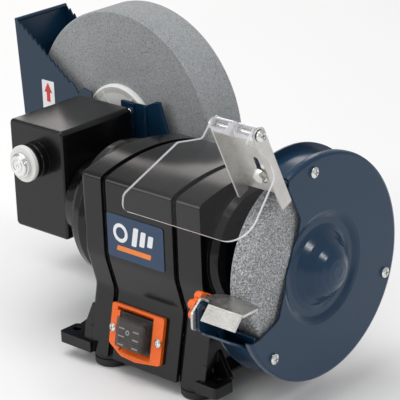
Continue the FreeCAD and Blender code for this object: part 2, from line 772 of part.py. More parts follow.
def makeShaftCap():
    """Turned steel end cap with a centre mark."""
    y1 = caseY0 - bossLong - gap - frontWasherLong
    cap = revolveY([(y1 - capLong, 0), (y1 - capLong, capR - 1.8), (y1 - capLong + 0.8, capR - 1),
                    (y1 - 3, capR - 1), (y1 - 2.6, capR), (y1 - 0.05, capR), (y1 - 0.05, 0)])
    bore = cylY(y1 - 3, y1 + 5, wetShaftR + 0.01)
    mark = Part.makeCone(1.6, 0.2, 1.6, V(wetX, y1 - capLong, wetZ), V(0, 1, 0))
    ring = tubeY(y1 - capLong - 1, y1 - capLong + 0.5, 5.4, 4.6)
    return cutAll(cap, [bore, mark, ring])


def makeWetWheel():
    wheel = tubeY(wetY0, wetY1, wetR, wetBore)
    rim = [e for e in wheel.Edges if e.Length > 400]
    return wheel.makeChamfer(1.2, rim)


def makeWetHub(side):
    """White flanged hub pushed into one face of the wet wheel."""
    face, out = (wetY0, -1) if side < 0 else (wetY1, 1)
    deep = 4.5 if side < 0 else 2.8
    boss = 5.5 if side < 0 else 2.8
    profile = [(face + out * 0.05, 38), (face + out * (deep - 1.5), 38), (face + out * deep, 36),
               (face + out * (deep - 1.4), 31), (face + out * (deep - 1.4), 17),
               (face + out * boss, 14), (face + out * boss, 6.01), (face - out * 15, 6.01),
               (face - out * 15, wetBore - 0.02), (face + out * 0.05, wetBore - 0.02)]
    ribs = []
    for k in range(6):
        y0, y1 = sorted((face + out * 0.5, face + out * (deep - 0.3)))
        rib = boxAt(wetX + 13, wetX + 35, y0, y1, wetZ - 1, wetZ + 1)
        rib.rotate(V(wetX, 0, wetZ), V(0, 1, 0), 60 * k)
        ribs.append(rib)
    return fuse([revolveY(profile)] + ribs)


def makeWetNut():
    y = wetY1 + 2.85
    nut = hexPrism(19, 4.2, V(wetX, y + 1.0, wetZ), V(0, 1, 0))
    return nut.fuse(cylY(y, y + 1.1, 12)).cut(cylY(y - 1, y + 20, 6.01))


def troughOutline():
    """Side view of the trough in (x, z): teeth, notch over the shaft and raised right corner."""
    points = [(troughLeftX, troughTopZ)]
    run = troughKneeX - troughLeftX - 6
    fall = troughKneeZ - troughTopZ
    for k in range(toothCount):
        here, half = k / toothCount, (k + 0.5) / toothCount
        points.append((troughLeftX + 4 + run * here, troughTopZ + fall * here - 0.6))
        points.append((troughLeftX + 4 + run * half, troughTopZ + fall * half - toothDeep))
        points.append((troughLeftX + 5.2 + run * half, troughTopZ + fall * half))
    points += [(troughKneeX, troughKneeZ), (troughKneeX + 6, troughKneeZ - 8),
               (troughKneeX + 12, troughKneeZ - 1), (notchX0, troughKneeZ - 3),
               (notchX0, notchZ), (notchX1, notchZ), (notchX1, tabTopZ),
               (creaseX, tabTopZ), (cornerX - 4, cornerZ), (cornerX, cornerZ),
               (cornerX + 9.5, 156.5), (-66, troughRightZ), (troughRightX, troughRightZ),
               (troughRightX, 68), (troughRightX - 26, troughFloorZ),
               (troughFloorX, troughFloorZ), (-244, 60)]
    return [(x, z, 0) for x, z in points]


def makeTrough():
    """Open sheet trough: two serrated side walls and a bent wrapper."""
    outline = troughOutline()
    solids = [prismY(outline, troughY0, troughY0 + sheet),
              prismY(outline, troughY1 - sheet, troughY1),
              cylY(troughY0, troughY1, 1.8, troughLeftX + 1.6, troughTopZ)]
    bend = [(troughLeftX, troughTopZ), (-244, 60), (troughFloorX, troughFloorZ),
            (troughRightX - 26, troughFloorZ), (troughRightX, 68), (troughRightX, troughRightZ)]
    for start, end in zip(bend, bend[1:]):
        run, rise = end[0] - start[0], end[1] - start[1]
        plate = Part.makeBox(math.hypot(run, rise), troughY1 - troughY0, sheet)
        plate.rotate(V(0, 0, 0), V(0, 1, 0), -math.degrees(math.atan2(rise, run)))
        plate.translate(V(start[0], troughY0, start[1]))
        solids.append(plate)
    solids += [edgeFlange(), screwTab(), cylZ(troughRightZ - 20, tabTopZ - 0.5, 1.6, creaseX, troughY0)]
    trough = fuse(solids)
    for x, z in spacerSpots() + [tabScrew]:
        trough = trough.cut(cylY(troughY0 - 3, troughY0 + 3, 1.95, x, z))
    return trough.cut(cylY(troughY0 - 2, troughY0 + 3, wetShaftR + 6))


# ---------- dry wheel and guard ----------

def makeDryWheel():
    wheel = tubeX(dryX0, dryX1, dryR, dryBore + 0.01)
    rim = [e for e in wheel.Edges if e.Length > 300]
    return wheel.makeChamfer(0.8, rim)


def makeWheelFlange(side):
    if side < 0:
        x, out = dryX0 - 0.55, -1
    else:
        x, out = dryX1 + 0.55, 1
    return revolveX([(x, dryBore + 0.01), (x, 12), (x + out * 0.8, 13), (x + out * 0.8, 19),
                     (x, 20), (x, 24), (x + out * 1.4, 24.5), (x + out * 3, 21),
                     (x + out * 3, dryBore + 0.01)])


def makeBlotters():
    left = tubeX(dryX0 - 0.5, dryX0 - 0.05, 25, dryBore + 1)
    right = tubeX(dryX1 + 0.05, dryX1 + 0.5, 25, dryBore + 1)
    return Part.makeCompound([left, right])


def makeArborNut():
    x = dryX1 + 3.6
    nut = hexPrism(19, 9, V(x, 0, motorZ), V(1, 0, 0))
    return nut.cut(cylX(x - 1, x + 12, dryBore + 0.01))


def mouthWedge(x0, x1, radius, top, low):
    """Wedge that opens the guard at the front, between two angles."""
    points = [V(x0, 0, motorZ)]
    steps = 12
    for k in range(steps + 1):
        angle = math.radians(top + (low - top) * k / steps)
        points.append(V(x0, radius * math.cos(angle), motorZ + radius * math.sin(angle)))
    face = Part.Face(Part.makePolygon(points + [points[0]]))
    return face.extrude(V(x1 - x0, 0, 0))


def makeWheelGuard():
    """Back plate, band round the wheel, arm for the rest and bracket tab."""
    plate = cylX(guardX0, guardX0 + guardSheet, flangeR)
    mouth = mouthWedge(guardX0 - 1, guardX1 + 9, 200, mouthTop, mouthLow)
    plate = plate.cut(mouth.cut(cylX(guardX0 - 2, guardX1 + 10, plateMouthR)))
    band = tubeX(guardX0, guardX1 - 2, guardR, guardR - guardSheet).cut(mouth)
    arm = prismX([(-60, 62, 0), (-60, 88, 0), (-84, 108.5, 6), (-99, 108.5, 4), (-99, 88, 5),
                  (-84, 80, 6)], armX0, armX1)
    foot = boxAt(armX0, guardX0 + guardSheet, -70, -60.5, 66, 80)
    lip = prismX([(-66, 67.5, 0), (-66, 69.5, 0), (-94, 85.5, 0), (-95, 84, 0)],
                 armX0, guardX1 - 8)
    solids = [plate, band, arm, foot, lip, bracketTab()]
    solids += [coverPost(angle) for angle in coverScrewAngles]
    guard = fuse(solids)
    slot = boxAt(armX0 - 1, armX1 + 1, knobY - 6, knobY + 6, knobZ - 2.2, knobZ + 2.2)
    ends = [cylX(armX0 - 1, armX1 + 1, 2.2, knobY + dy, knobZ) for dy in (-6, 6)]
    bore = cylX(guardX0 - 2, guardX0 + 4, 15)
    return cutAll(guard, [bore, slot, bracketBar(boltDown, -6, 6, 2.3)] + ends)


def bracketPoint(down, back):
    """(y, z) at a distance down the leaning bracket and behind its web."""
    off = 6 + back
    y = rodY + down * math.sin(bracketLean) + off * math.cos(bracketLean)
    z = rodZ - down * math.cos(bracketLean) + off * math.sin(bracketLean)
    return y, z


def bracketBar(down, start, end, radius):
    """Cylinder square to the bracket web, from start to end behind it."""
    y, z = bracketPoint(down, start)
    towards = V(0, math.cos(bracketLean), math.sin(bracketLean))
    return Part.makeCylinder(radius, end - start, V(boltX, y, z), towards)


def coverPost(angle):
    """Screw post for the cover, standing on the band."""
    y, z = coverScrewSpots()[coverScrewAngles.index(angle)]
    post = cylX(guardX1 - 16, guardX1 - 3.6, 3.6, y, z)
    return cutAll(post, [cylX(guardX1 - 17, guardX1, 1.5, y, z),
                         cylX(guardX1 - 20, guardX1, dryR + 1.2)])


def makeOuterCover():
    """Pressed cover disc with a raised dome and the open front mouth."""
    x1 = guardX1
    skin = [(x1 - 6, flangeR), (x1 - 2.4, flangeR), (x1 - 0.6, flangeR - 0.7), (x1, flangeR - 2.4),
            (x1, pressR + 4), (x1 - 0.8, pressR + 1.5), (x1 - pressDeep, pressR - 2),
            (x1 - pressDeep, pressR - 7), (x1 - 1.6, domeR + 9), (x1 + 2.2, domeR + 4.5),
            (x1 + 7.5, domeR), (x1 + 11.5, domeR - 4.5), (x1 + 14, domeR - 10),
            (x1 + domeOut, domeR - 15), (x1 + domeOut, 0)]
    inside = [(x, max(r - coverSheet, 0)) if x < x1 - 2.3 and r > flangeR - 1
              else (x - coverSheet, max(r - coverSheet * 0.6, 0)) for x, r in reversed(skin)]
    cover = revolveX(skin + inside)
    cover = cover.cut(prismX(mouthCorners(), x1 - 30, x1 + 30))
    holes = [cylX(x1 - 9, x1 + 9, 2.0, y, z) for y, z in coverScrewSpots()]
    return cutAll(cover, holes)


def mouthCorners():
    """Mouth outline in (y, z): from the top front down to the lower lip."""
    return [(-37, 234, 0), (-36, 186, 0), (-23.5, 160, 8), (-31, 132, 20), (-45, 104, 8),
            (-50, 89, 8), (-72, 81, 4), (-90, 80, 0), (-130, 74, 0), (-130, 234, 0)]


def makeCoverScrews():
    parts = []
    for y, z in coverScrewSpots():
        head = screwHead(4.2, 2.8, guardX1 + 0.05, y, z, V(1, 0, 0))
        shank = cylX(guardX1 - 11, guardX1 + 0.3, 1.45, y, z)
        parts.append(fuse([head, shank]))
    return Part.makeCompound(parts)


def makeGuardScrews():
    parts = []
    for y, z in guardScrewSpots():
        head = screwHead(4.0, 2.6, guardX0 + guardSheet + 0.05, y, z, V(1, 0, 0))
        shank = cylX(guardX0 - 14, guardX0 + guardSheet + 0.3, 1.9, y, z)
        parts.append(fuse([head, shank]))
    return Part.makeCompound(parts)


def guardScrewHoles():
    return Part.makeCompound([cylX(guardX0 - 16, guardX0 + 4, 1.95, y, z) for y, z in guardScrewSpots()])


# ---------- tool rest ----------

def makeToolRest():
    """Pressed rest: top plate, bent front lip and slotted side stem."""
    outline = [(restX0, restY1 - 3, 2), (restX0 + 7, restY1 + 1.5, 2), (restX1 - 3, restY1, 2),
               (restX1, restY1 - 3, 1), (restX1, restY0, 0), (restX0 + 9, restY0, 0),
               (restX0, restY0 + 9, 0)]
    top = prismZ(outline, restZ - restSheet, restZ)
    lip = prismX([(restY0 + 0.5, restZ, 0), (restY0 + 0.5, restZ - restSheet, 0),
                  (restY0 - 7.2, restZ - 11, 0), (restY0 - 8.8, restZ - 10, 0)],
                 restX0 + 8, restX1 - 1)
    stem = prismX([(-103, 89, 3), (-103, 103, 4), (-93, restZ, 3), (-84, restZ, 1),
                   (-80, 101, 3), (-84, 94, 3), (-95, 89, 2)], stemX1 - restSheet, stemX1)
    bridge = boxAt(stemX1 - restSheet, restX0 + 8, -92, -85, restZ - restSheet, restZ)
    rest = fuse([top, lip, stem, bridge])
    return rest.cut(cylX(stemX1 - 5, stemX1 + 1, 2.2, knobY, knobZ))


def makeRestKnob():
    """Lobed clamping knob with its stud through the stem and the arm."""
    x1 = stemX1 - restSheet - 0.45
    x0 = x1 - knobLong
    body = cylX(x0, x1, knobR, knobY, knobZ)
    for k in range(6):
        turn = math.radians(60 * k + 30)
        y = knobY + knobR * math.cos(turn)
        z = knobZ + knobR * math.sin(turn)
        body = body.fuse(cylX(x0, x1, knobLobe, y, z))
    body = body.removeSplitter()
    front = [e for e in body.Edges if e.BoundBox.XMax < x0 + 0.01]
    body = body.makeFillet(1.5, front)
    stud = cylX(x1 - 4, armX1 + 8, 1.8, knobY, knobZ)
    return fuse([body, stud])


def makeRestNut():
    """Square nut behind the arm that moves along with the rest."""
    return boxAt(armX1 + 0.4, armX1 + 3.6, knobY - 4, knobY + 4, knobZ - 4, knobZ + 4).cut(
        cylX(armX1, armX1 + 9, 1.8 + runClear, knobY, knobZ))


# ---------- eye shield ----------

def leaning(shape):
    """Turn a shape drawn straight down from the rod to the bracket lean."""
    shape.rotate(V(0, rodY, rodZ), V(1, 0, 0), math.degrees(bracketLean))
    return shape


def makeShieldBracket():
    """Steel channel: web with a slot, two side arms and pin holes."""
    web = boxAt(bracketX0, bracketX1, rodY + 6 - bracketSheet, rodY + 6, rodZ - webLow, rodZ - 14)
    solids = [web]
    for x in (bracketX0, bracketX1 - bracketSheet):
        solids.append(prismX([(rodY - 5, rodZ + 5, 4), (rodY - 5, rodZ - armLow, 1),
                              (rodY + 6, rodZ - armLow, 1), (rodY + 6, rodZ + 5, 4)],
                             x, x + bracketSheet))
    slot = boxAt(boltX - 2.2, boltX + 2.2, rodY, rodY + 9, rodZ - slotLow, rodZ - slotTop)
    ends = [Part.makeCylinder(2.2, 9, V(boltX, rodY, rodZ - dz), V(0, 1, 0)) for dz in (slotLow, slotTop)]
    bracket = cutAll(fuse(solids), [slot] + ends)
    return leaning(bracket.cut(cylX(rodX0, rodX1, rodR + runClear, rodY, rodZ)))


def makeBracketBolt():
    """Bolt, washer and nut that clamp the bracket web to the guard tab."""
    towards = V(0, math.cos(bracketLean), math.sin(bracketLean))
    bolt = bracketBar(boltDown, -6.2, 7, 1.9)
    washer = bracketBar(boltDown, -2.75, -1.75, 6.0)
    y, z = bracketPoint(boltDown, -6.2)
    head = hexPrism(8, 3.5, V(boltX, y, z), towards)
    y, z = bracketPoint(boltDown, 2.2)
    nut = hexPrism(7, 3, V(boltX, y, z), towards)
    return fuse([bolt, washer, head, nut])


def makeHingePin():
    rod = cylX(rodX0, rodX1, rodR, rodY, rodZ)
    headL = cylX(rodX0 - 1.4, rodX0 + 0.1, 4.2, rodY, rodZ)
    headR = screwHead(4.4, 2.6, rodX1 - 0.1, rodY, rodZ, V(1, 0, 0))
    return fuse([rod, headL, headR])


def makeEyeShield():
    """Clear shield drawn hanging straight down, then swung to its slope."""
    y0, y1 = rodY - 6 - shieldSheet, rodY - 6
    x0, x1 = bracketX0 + bracketSheet + 0.5, bracketX1 - bracketSheet - 0.5
    outline = [(shieldX0 + 3, rodZ - shieldLong, 9), (shieldX1, rodZ - shieldLong, 20),
               (shieldX1 - 3, rodZ - 29, 8), (shieldX1 - 11, rodZ - 20.5, 5),
               (shieldX1 - 28, rodZ - 12.5, 6), (x1, rodZ - 11, 3), (x1, rodZ + 2, 1),
               (x0, rodZ + 2, 1), (x0, rodZ - 15, 3), (shieldX0 + 21, rodZ - 22.5, 3),
               (shieldX0 - 3, rodZ - 70, 6)]
    solids = [prismY(outline, y0, y1)]
    for start, end in ((x0, x0 + 16), (x1 - 17, x1)):
        solids.append(cylX(start, end, rodR + 3, rodY, rodZ))
        solids.append(boxAt(start, end, y0 + 0.5, rodY - rodR, rodZ - 4, rodZ + 1.5))
    window = boxAt(x0 + 16.5, x1 - 17.5, y0 - 1, y1 + 1, rodZ - 6, rodZ + 3)
    shield = fuse(solids).cut(cylX(rodX0, rodX1, rodR + runClear, rodY, rodZ)).cut(window)
    shield.rotate(V(0, rodY, rodZ), V(1, 0, 0), -math.degrees(shieldDrop))
    return shield


def tilted(shape):
    """Lean a shape drawn upright on the waist line back to the skirt slope."""
    shape.rotate(V(0, plateFaceY, plateZ1), V(1, 0, 0), plateLean)
    return shape


def plateScrewXs():
    return plateX0 + 3.5, plateX1 - 3.5


def spacerSpots():
    """Places in (x, z) of the spacers between the gear case and the trough."""
    left, right = caseX0 + 12, caseX1 - 12
    return [(left, caseZ1 - 20.5), (left, caseZ0 + 14), (right, caseZ0 + 14)]


def makeTroughScrews():
    """Screws inside the trough into the case, and the screw seen on its tab."""
    parts = []
    inside = troughY0 + sheet + 0.05
    for x, z in spacerSpots():
        shank = cylY(caseY1 - 7, inside + 0.1, 1.85, x, z)
        parts.append(fuse([shank, screwHead(3.6, 2.2, x, inside, z, V(0, 1, 0))]))
    x, z = tabScrew
    outside = troughY0 - tabThick
    shank = cylY(outside - 0.3, troughY0 + sheet, 1.85, x, z)
    parts.append(fuse([shank, screwHead(3.9, 2.6, x, outside - 0.05, z, V(0, -1, 0))]))
    return Part.makeCompound(parts)


def bracketTab():
    """Tab bent up off the guard band that carries the shield bracket."""
    tab = boxAt(tabX0, tabX1, -0.7, 0.7, -18, 13)
    foot = boxAt(tabX0, tabX1, -0.7, 11.0, -18, -16.6)
    tab = tab.fuse(foot)
    tab.rotate(V(0, 0, 0), V(1, 0, 0), math.degrees(bracketLean))
    y, z = bracketPoint(boltDown, 1.1)
    tab.translate(V(0, y, z))
    return tab


def boltSpots():
    """Through bolt places as (y, height over the shaft)."""
    return [(y, dz) for y in (-39, 39) for dz in (-34, 34)]


def makeFlare():
    """Wider foot of the left frame's legs."""
    slope = prismY([(ringLeftX0 + 3, skirtZ, 0), (ringLeftX0 + 3, flareTopZ, 0),
                    (ringLeftX0, flareTopZ, 0), (flareX, flareLowZ, 0), (flareX, skirtZ, 0)],
                   -skirtHalfY, skirtHalfY)
    middle = boxAt(flareX - 1, ringLeftX0 + 4, -flareInY, flareInY, 0, flareTopZ + 1)
    return slope.common(housingBlock(flareX - 1, ringLeftX0 + 4, 0, skirtZ)).cut(middle)


def roundedRing(x0, x1, side):
    """Ring of the housing outline with its outer end edge rounded over."""
    ring = housingBlock(x0, x1, 0, skirtZ)
    if side > 0:
        return ring
    end = [edge for edge in ring.Edges
           if edge.BoundBox.XMax < x0 + 0.01 and edge.BoundBox.ZMin > frontEndZ - 30]
    return ring.makeFillet(ringRound, end)


def edgeFlange():
    """Stiffening flange bent forward along the slanted right edge."""
    return prismY([(cornerX - 5, cornerZ - 1, 0), (cornerX, cornerZ, 0), (cornerX + 9.5, 156.5, 0),
                   (-66, troughRightZ, 0), (-70, troughRightZ, 0), (cornerX + 5.5, 156, 0)],
                  troughY0 - 2.5, troughY0 + 0.1)


def screwTab():
    """Doubled tab beside the notch, with one corner cut off."""
    x, z = tabScrew
    return prismY([(notchX1, tabTopZ, 0), (x + 5, tabTopZ - 1, 0), (x + 5, z - 13, 0),
                   (x - 2, z - 13, 0), (notchX1, z - 9, 0)], troughY0 - tabThick, troughY0 + 0.1)


def coverScrewSpots():
    """Places of the cover screws in (y, z)."""
    reach = coverScrewR - 1
    turns = [math.radians(angle) for angle in coverScrewAngles]
    return [(reach * math.cos(turn), motorZ + reach * math.sin(turn)) for turn in turns]


def guardScrewSpots():
    """Places in (y, z) of the four screws through the guard's back plate."""
    turns = [math.radians(45 + 90 * k) for k in range(4)]
    return [(28 * math.cos(turn), motorZ + 28 * math.sin(turn)) for turn in turns]


# ---------- assembly ----------

def allNodes():
    leftFrame = makeEndFrame(-1)
    rightFrame = makeEndFrame(1)
    guard = makeWheelGuard().cut(guardScrewHoles())
    rightFrame = rightFrame.cut(guardScrewHoles())
    bolts = makeThroughBolts()
    nodes = {
        "motor_casing": makeMotorCasing(),
        "left_end_frame": leftFrame,
        "right_end_frame": rightFrame,
        "base_cover": makeBaseCover(),
        "foot_screws": makeFootScrews(),
        "stator_core": makeStatorCore(),
        "stator_windings": makeWindings(),
        "bearing_outer_rings": makeBearingOuters(),
        "wave_washer": makeWaveWasher(),
        "through_bolts": bolts,
        "run_capacitor": makeCapacitor(),
        "capacitor_clip": makeCapacitorClip(),
        "cable_gland": makeCableGland(),
        "switch_plate": makeSwitchPlate(),
        "switch_body": makeSwitchBody(),
        "switch_cover": makeSwitchCover(),
        "switch_screws": makeSwitchScrews(),
        "switch_rocker": makeRocker(),
        "name_plate": makeNamePlate(),
        "direction_label": makeDirectionLabel(),
        "gear_case": makeGearCase(),
        "gear_case_cover": makeGearCover(),
        "trough_screws": makeTroughScrews(),
        "trough_spacers": makeSpacers(),
        "wet_bushes": makeWetBushes(),
        "oil_seal": makeOilSeal(),
        "trough": makeTrough(),
        "wheel_guard": guard,
        "outer_cover": makeOuterCover(),
        "cover_screws": makeCoverScrews(),
        "guard_screws": makeGuardScrews(),
        "rotor_core": makeRotorCore(),
        "motor_shaft": makeMotorShaft(),
        "cooling_fan": makeFan(),
        "bearing_inner_rings": makeBearingInners(),
        "worm": makeWorm(),
        "dry_wheel": makeDryWheel(),
        "inner_wheel_flange": makeWheelFlange(-1),
        "outer_wheel_flange": makeWheelFlange(1),
        "paper_blotters": makeBlotters(),
        "arbor_nut": makeArborNut(),
        "wet_shaft": makeWetShaft(),
        "worm_wheel": makeWormWheel(),
        "wet_wheel": makeWetWheel(),
        "wet_hub_front": makeWetHub(-1),
        "wet_hub_back": makeWetHub(1),
        "wet_nut": makeWetNut(),
        "front_washer": makeFrontWasher(),
        "shaft_cap": makeShaftCap(),
        "tool_rest": makeToolRest(),
        "rest_knob": makeRestKnob(),
        "rest_nut": makeRestNut(),
        "shield_bracket": makeShieldBracket(),
        "bracket_bolt": makeBracketBolt(),
        "hinge_pin": makeHingePin(),
        "eye_shield": makeEyeShield(),
    }
    number = 1
    for x in footX:
        for y in (-footY, footY):
            nodes["rubber_foot_" + str(number)] = makeRubberFoot(x, y)
            number += 1
    return nodes


def main():
    os.makedirs("parts", exist_ok=True)
    nodes = allNodes()
    box = Part.makeCompound(list(nodes.values())).BoundBox
    shift = V(-box.Center.x, -box.Center.y, -box.ZMin)
    print("shift", shift.x, shift.y, shift.z)
    print("size", box.XLength, box.YLength, box.ZLength)
    for name, shape in nodes.items():
        if not shape.isValid():
            print("not valid:", name)
        shape.translate(shift)
        shape.exportStep("parts/" + name + ".step")
        print(name, len(shape.Solids), round(shape.Volume))


main()
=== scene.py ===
import bpy
import json
import math
from mathutils import Matrix, Vector


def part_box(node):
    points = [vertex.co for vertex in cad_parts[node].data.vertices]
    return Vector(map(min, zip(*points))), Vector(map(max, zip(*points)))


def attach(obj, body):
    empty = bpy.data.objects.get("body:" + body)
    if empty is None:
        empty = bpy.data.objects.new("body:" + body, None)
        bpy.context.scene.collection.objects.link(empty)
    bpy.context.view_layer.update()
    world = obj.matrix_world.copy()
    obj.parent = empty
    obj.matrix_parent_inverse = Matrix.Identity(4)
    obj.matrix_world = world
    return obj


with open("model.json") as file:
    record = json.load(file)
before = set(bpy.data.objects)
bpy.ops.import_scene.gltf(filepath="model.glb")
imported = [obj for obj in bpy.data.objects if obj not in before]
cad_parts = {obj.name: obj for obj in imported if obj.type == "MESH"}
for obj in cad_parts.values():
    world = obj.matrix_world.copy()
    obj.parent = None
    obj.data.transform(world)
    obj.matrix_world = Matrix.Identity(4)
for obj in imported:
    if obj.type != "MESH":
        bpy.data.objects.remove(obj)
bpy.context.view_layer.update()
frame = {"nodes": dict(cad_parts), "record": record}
nodes = frame["nodes"]
print("stage: frame loaded,", len(nodes), "nodes")


def startMaterial(name, colour, roughness, metallic=0.0, ior=1.5):
    material = bpy.data.materials.new(name)
    material.use_nodes = True
    tree = material.node_tree
    shader = tree.nodes["Principled BSDF"]
    shader.inputs["Base Color"].default_value = (*colour, 1)
    shader.inputs["Roughness"].default_value = roughness
    shader.inputs["Metallic"].default_value = metallic
    shader.inputs["IOR"].default_value = ior
    material.diffuse_color = (*colour, 1)
    return material, tree, shader


def objectPlace(tree, stretch=(1, 1, 1)):
    coords = tree.nodes.new("ShaderNodeTexCoord")
    mapping = tree.nodes.new("ShaderNodeMapping")
    mapping.inputs["Scale"].default_value = stretch
    tree.links.new(coords.outputs["Object"], mapping.inputs["Vector"])
    return mapping.outputs["Vector"]


def noise(tree, place, scale, detail=4.0, rough=0.55):
    node = tree.nodes.new("ShaderNodeTexNoise")
    node.inputs["Scale"].default_value = scale
    node.inputs["Detail"].default_value = detail
    node.inputs["Roughness"].default_value = rough
    tree.links.new(place, node.inputs["Vector"])
    return node.outputs["Fac"]


def cells(tree, place, scale):
    node = tree.nodes.new("ShaderNodeTexVoronoi")
    node.inputs["Scale"].default_value = scale
    tree.links.new(place, node.inputs["Vector"])
    return node.outputs["Color"]


def ramp(tree, value, stops):
    node = tree.nodes.new("ShaderNodeValToRGB")
    band = node.color_ramp
    while len(band.elements) < len(stops):
        band.elements.new(0.5)
    for element, (position, colour) in zip(band.elements, stops):
        element.position = position
        element.color = (*colour, 1) if len(colour) == 3 else colour
    tree.links.new(value, node.inputs["Fac"])
    return node.outputs["Color"]


def remap(tree, value, low, high, outLow, outHigh):
    node = tree.nodes.new("ShaderNodeMapRange")
    node.inputs["From Min"].default_value = low
    node.inputs["From Max"].default_value = high
    node.inputs["To Min"].default_value = outLow
    node.inputs["To Max"].default_value = outHigh
    tree.links.new(value, node.inputs["Value"])
    return node.outputs["Result"]


def blendColours(tree, factor, first, second, mode="MIX"):
    node = tree.nodes.new("ShaderNodeMix")
    node.data_type = "RGBA"
    node.blend_type = mode
    for socket, value in ((node.inputs["Factor"], factor), (node.inputs["A"], first),
                          (node.inputs["B"], second)):
        if isinstance(value, (int, float)):
            socket.default_value = value
        elif isinstance(value, tuple):
            socket.default_value = (*value, 1)
        else:
            tree.links.new(value, socket)
    return node.outputs["Result"]


bevelSamples = 4  # rays that soften the look of a sharp edge


def bump(tree, shader, height, strength, distance, softEdge=0.0):
    node = tree.nodes.new("ShaderNodeBump")
    node.inputs["Strength"].default_value = strength
    node.inputs["Distance"].default_value = distance
    tree.links.new(height, node.inputs["Height"])
    if softEdge > 0:
        edge = tree.nodes.new("ShaderNodeBevel")
        edge.samples = bevelSamples
        edge.inputs["Radius"].default_value = softEdge
        tree.links.new(edge.outputs["Normal"], node.inputs["Normal"])
    tree.links.new(node.outputs["Normal"], shader.inputs["Normal"])


enamel = {"blackColour": (0.0035, 0.0032, 0.0032), "blackRoughness": 0.15,
          "caseColour": (0.0032, 0.0030, 0.0030), "caseRoughness": 0.18,
          "blueColour": (0.006, 0.027, 0.06), "blueRoughness": 0.2,
          "troughColour": (0.003, 0.021, 0.048), "troughRoughness": 0.27,
          "dust": (0.025, 0.024, 0.023), "cloudScale": 18, "peelScale": 420, "speckScale": 1900,
          "peelDepth": 0.0004, "cloudLighter": 1.35, "ior": 1.42}


# orange-peel paint with a few specks of dust
def makeEnamel(name, colour, roughness, peel=0.07, softEdge=0.0009, dusty=0.1):
    material, tree, shader = startMaterial(name, colour, roughness, ior=enamel["ior"])
    place = objectPlace(tree)
    cloud = noise(tree, place, enamel["cloudScale"], 3)
    fine = noise(tree, place, enamel["peelScale"], 2)
    specks = noise(tree, place, enamel["speckScale"], 1)
    dust = ramp(tree, specks, [(0.62, (0, 0, 0)), (0.78, (dusty, dusty, dusty))])
    tint = blendColours(tree, cloud, colour, tuple(c * enamel["cloudLighter"] for c in colour))
    tree.links.new(blendColours(tree, dust, tint, enamel["dust"]), shader.inputs["Base Color"])
    tree.links.new(remap(tree, cloud, 0.3, 0.7, roughness - 0.03, roughness + 0.06),
                   shader.inputs["Roughness"])
    bump(tree, shader, fine, peel, enamel["peelDepth"], softEdge)
    return material


steel = {"grainScale": 160, "cloudScale": 60, "grainDepth": 0.0002, "softEdge": 0.0004,
         "cloudDarker": 0.78}


# brushed or turned metal; grain stretches the brushing along an axis
def makeSteel(name, colour, roughness, grain=(1, 1, 40), strength=0.25):
    material, tree, shader = startMaterial(name, colour, roughness, metallic=1.0)
    along = objectPlace(tree, grain)
    place = objectPlace(tree)
    brushed = noise(tree, along, steel["grainScale"], 3, 0.7)
    cloud = noise(tree, place, steel["cloudScale"], 4)
    darker = tuple(c * steel["cloudDarker"] for c in colour)
    shade = ramp(tree, cloud, [(0.3, darker), (0.7, colour)])
    tree.links.new(shade, shader.inputs["Base Color"])
    tree.links.new(remap(tree, brushed, 0.3, 0.7, roughness - 0.08, roughness + 0.1),
                   shader.inputs["Roughness"])
    bump(tree, shader, brushed, strength, steel["grainDepth"], steel["softEdge"])
    return material


stone = {"dryDark": (0.13, 0.134, 0.14), "dryMid": (0.29, 0.295, 0.305),
         "dryLight": (0.7, 0.71, 0.72), "dryGrain": 1400.0,
         "wetDark": (0.2, 0.208, 0.215), "wetMid": (0.32, 0.335, 0.34),
         "wetLight": (0.4, 0.41, 0.415), "wetGrain": 1250.0, "poreScale": 520, "washScale": 25,
         "dryDepth": 0.0006, "wetDepth": 0.0003}


def makeDryStone():
    material, tree, shader = startMaterial("coarseGrit", stone["dryMid"], 0.85, ior=1.4)
    place = objectPlace(tree)
    grains = cells(tree, place, stone["dryGrain"])
    grainLight = tree.nodes.new("ShaderNodeSeparateColor")
    tree.links.new(grains, grainLight.inputs["Color"])
    coarse = noise(tree, place, stone["poreScale"], 3, 0.7)
    colour = ramp(tree, grainLight.outputs["Red"],
                  [(0.0, stone["dryDark"]), (0.35, stone["dryMid"]),
                   (0.72, tuple(c * 1.35 for c in stone["dryMid"])), (1.0, stone["dryLight"])])
    pores = ramp(tree, coarse, [(0.36, (0.5, 0.5, 0.5)), (0.5, (1, 1, 1))])
    tree.links.new(blendColours(tree, 1.0, colour, pores, "MULTIPLY"), shader.inputs["Base Color"])
    tree.links.new(remap(tree, grainLight.outputs["Green"], 0, 1, 0.5, 0.95),
                   shader.inputs["Roughness"])
    bump(tree, shader, blendColours(tree, 0.5, grains, coarse), 0.8, stone["dryDepth"])
    return material


def makeWetStone():
    material, tree, shader = startMaterial("fineGrit", stone["wetMid"], 0.9, ior=1.35)
    place = objectPlace(tree)
    grains = cells(tree, place, stone["wetGrain"])
    pick = tree.nodes.new("ShaderNodeSeparateColor")
    tree.links.new(grains, pick.inputs["Color"])
    cloud = noise(tree, place, stone["washScale"], 4)
    colour = ramp(tree, pick.outputs["Red"], [(0.0, stone["wetDark"]), (0.3, stone["wetMid"]),
                                              (0.8, stone["wetMid"]), (1.0, stone["wetLight"])])
    shade = ramp(tree, cloud, [(0.3, (0.9, 0.9, 0.91)), (0.7, (1, 1, 1))])
    tree.links.new(blendColours(tree, 1.0, colour, shade, "MULTIPLY"), shader.inputs["Base Color"])
    bump(tree, shader, pick.outputs["Green"], 0.35, stone["wetDepth"])
    return material


plastic = {"cloudScale": 45, "grainDepth": 0.0003, "cloudDarker": 0.86}


